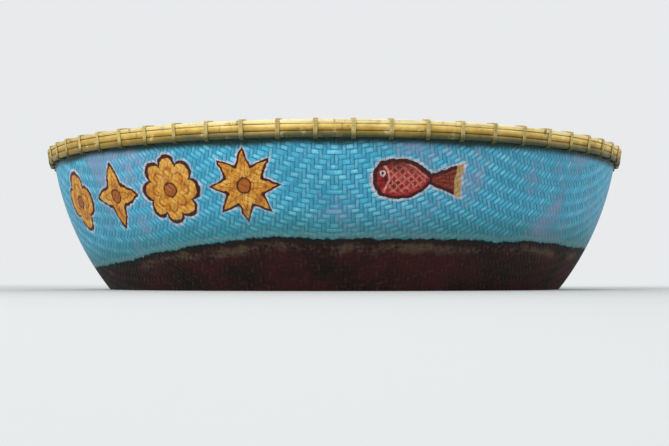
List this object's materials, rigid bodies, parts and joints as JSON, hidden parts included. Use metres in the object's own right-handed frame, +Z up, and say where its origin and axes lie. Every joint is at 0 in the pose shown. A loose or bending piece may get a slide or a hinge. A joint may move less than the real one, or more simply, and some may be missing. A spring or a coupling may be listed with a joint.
{
  "type": "coracle",
  "caption": "Round woven bamboo basket boat: painted bowl hull, lashed hoop rim, crossed ribs inside, bench and rower's plank on a side hoop, slatted floor",
  "frame": {"origin": "Middle of the waterline: the water's surface cuts the hull at Z = 0", "axes": "+Z up, square to the water; +Y toward the rower's end, which is the way the passengers face; +X to their right"},
  "size_m": [1.9872, 1.9872, 0.7148],
  "materials": {
    "painted_mat": "matt oil paint over woven bamboo, tarred below",
    "painted_hoop": "satin paint, worn",
    "bare_hoop": "oiled split bamboo",
    "tie_cord": "painted cord",
    "bamboo": "oiled split bamboo",
    "plank": "weathered timber"
  },
  "bodies": {
    "root": {"bench_board_1": "plank", "bench_board_2": "plank", "bench_board_3": "plank", "bench_board_4": "plank", "bench_board_5": "plank", "bench_board_6": "plank", "bench_board_7": "plank", "bench_board_8": "plank", "bench_board_9": "plank", "cross_rib_1": "bamboo", "cross_rib_2": "bamboo", "cross_rib_3": "bamboo", "cross_rib_4": "bamboo", "cross_rib_5": "bamboo", "floor_bearer_1": "plank", "floor_bearer_2": "plank", "floor_bearer_3": "plank", "floor_slat_1": "bamboo", "floor_slat_2": "bamboo", "floor_slat_3": "bamboo", "floor_slat_4": "bamboo", "floor_slat_5": "bamboo", "floor_slat_6": "bamboo", "floor_slat_7": "bamboo", "floor_slat_8": "bamboo", "hull_mat": "painted_mat", "ledge_hoop": "bamboo", "long_rib_1": "bamboo", "long_rib_2": "bamboo", "long_rib_3": "bamboo", "long_rib_4": "bamboo", "long_rib_5": "bamboo", "rim_cap": "painted_hoop", "rim_hoop_inner_lower": "bare_hoop", "rim_hoop_inner_upper": "bare_hoop", "rim_hoop_outer_lower": "painted_hoop", "rim_hoop_outer_upper": "painted_hoop", "rim_ties": "tie_cord", "rower_plank": "plank", "seat_pole_1": "bamboo", "seat_pole_2": "bamboo"}
  },
  "joints": []
}
